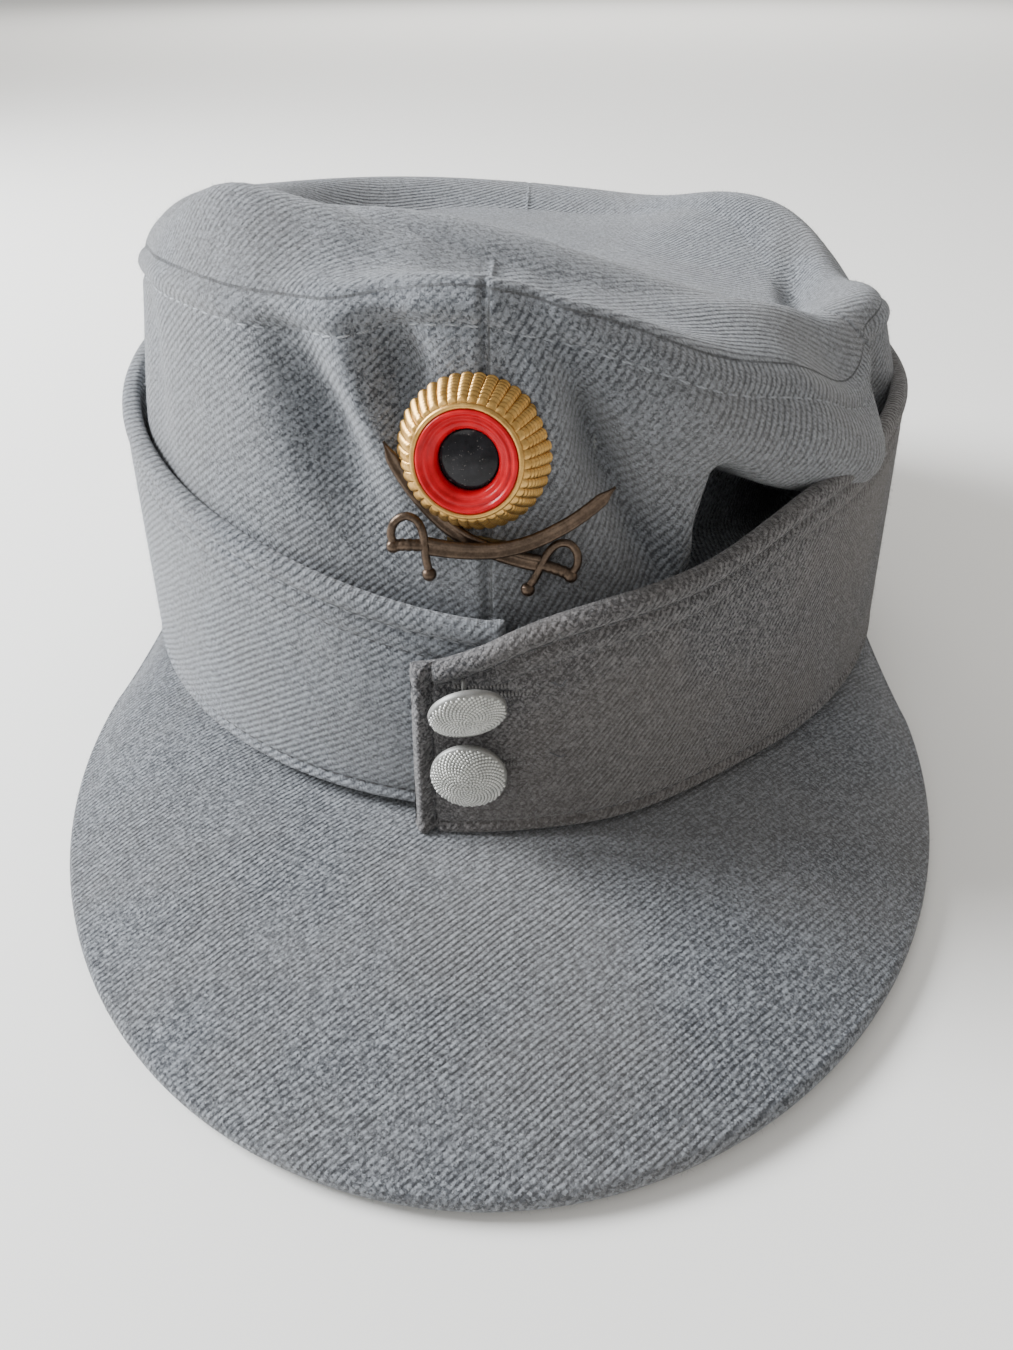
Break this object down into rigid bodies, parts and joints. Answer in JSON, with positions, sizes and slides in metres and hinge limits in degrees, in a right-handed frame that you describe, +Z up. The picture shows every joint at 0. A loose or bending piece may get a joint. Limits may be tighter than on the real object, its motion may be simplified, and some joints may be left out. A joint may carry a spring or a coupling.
{
  "type": "field cap with turn-up flap",
  "caption": "Soft wool field cap with a wide cloth-covered visor, a turn-up flap that buttons in front, a round cockade and crossed sabres.",
  "frame": {"origin": "middle of the head opening, on the surface that the cap rests on", "axes": "+Z up out of the crown, +Y towards the back of the head, so the visor points along -Y, and +X to the wearer's left"},
  "size_m": [0.1736, 0.2735, 0.1022],
  "materials": {
    "wool_cloth": "woven wool twill, matt",
    "lining": "plain woven cotton",
    "sweatband": "smooth thin leather",
    "label": "blank woven tape",
    "board": "pressed fibre board",
    "thread": "twisted sewing thread",
    "button_metal": "pebbled, silver-grey",
    "gilt": "gilt, ribbed",
    "red_enamel": "gloss enamel",
    "black_enamel": "gloss enamel",
    "bronze": "antique bronze",
    "prong_wire": "bare wire",
    "washer_metal": "plain"
  },
  "bodies": {
    "crown": {"badge_prongs": "prong_wire", "badge_washer": "washer_metal", "crown_back_left": "wool_cloth", "crown_back_right": "wool_cloth", "crown_edge_stitching_left": "thread", "crown_edge_stitching_right": "thread", "crown_front_left": "wool_cloth", "crown_front_right": "wool_cloth", "crown_top_panel": "wool_cloth", "ear_flap_left_facing": "wool_cloth", "ear_flap_left_outer": "wool_cloth", "ear_flap_right_facing": "wool_cloth", "ear_flap_right_outer": "wool_cloth", "flap_root_tape": "lining", "front_seam_stitching": "thread", "lining_top": "lining", "lining_wall": "lining", "roundel_bead_ring": "gilt", "roundel_centre": "black_enamel", "roundel_enamel_ring": "red_enamel", "roundel_prongs": "prong_wire", "roundel_skirt": "gilt", "roundel_washer": "washer_metal", "sabre_lower": "bronze", "sabre_upper": "bronze", "size_label": "label", "sweatband": "sweatband", "visor_board": "board", "visor_top_cover": "wool_cloth", "visor_under_cover": "wool_cloth"},
    "left_wing": {"left_wing_facing": "wool_cloth", "left_wing_outer": "wool_cloth", "left_wing_stitching": "thread", "lower_button_thread": "thread", "upper_button_thread": "thread"},
    "right_wing": {"buttonhole_tab": "wool_cloth", "lower_buttonhole_stitching": "thread", "right_wing_facing": "wool_cloth", "right_wing_outer": "wool_cloth", "right_wing_stitching": "thread", "upper_buttonhole_stitching": "thread"},
    "upper_button": {"upper_button_back": "button_metal", "upper_button_shell": "button_metal"},
    "lower_button": {"lower_button_back": "button_metal", "lower_button_shell": "button_metal"}
  },
  "joints": [
    {"name": "right_flap_open", "type": "hinge", "parent": "crown", "child": "right_wing", "pos_m": [0.07664, -0.04967, 0.035], "axis": [0, 0, 1], "range_deg": [0, 100], "deforming": ["buttonhole_tab", "upper_buttonhole_stitching", "lower_buttonhole_stitching"]},
    {"name": "left_flap_open", "type": "hinge", "parent": "crown", "child": "left_wing", "pos_m": [-0.07664, -0.04967, 0.035], "axis": [0, 0, -1], "range_deg": [0, 100]},
    {"name": "upper_button_tilt", "type": "hinge", "parent": "left_wing", "child": "upper_button", "pos_m": [-0.0024, -0.10561, 0.0427], "axis": [1, 0, 0], "range_deg": [-40, 0]},
    {"name": "lower_button_tilt", "type": "hinge", "parent": "left_wing", "child": "lower_button", "pos_m": [-0.0024, -0.10676, 0.0293], "axis": [1, 0, 0], "range_deg": [-8, 25]}
  ]
}
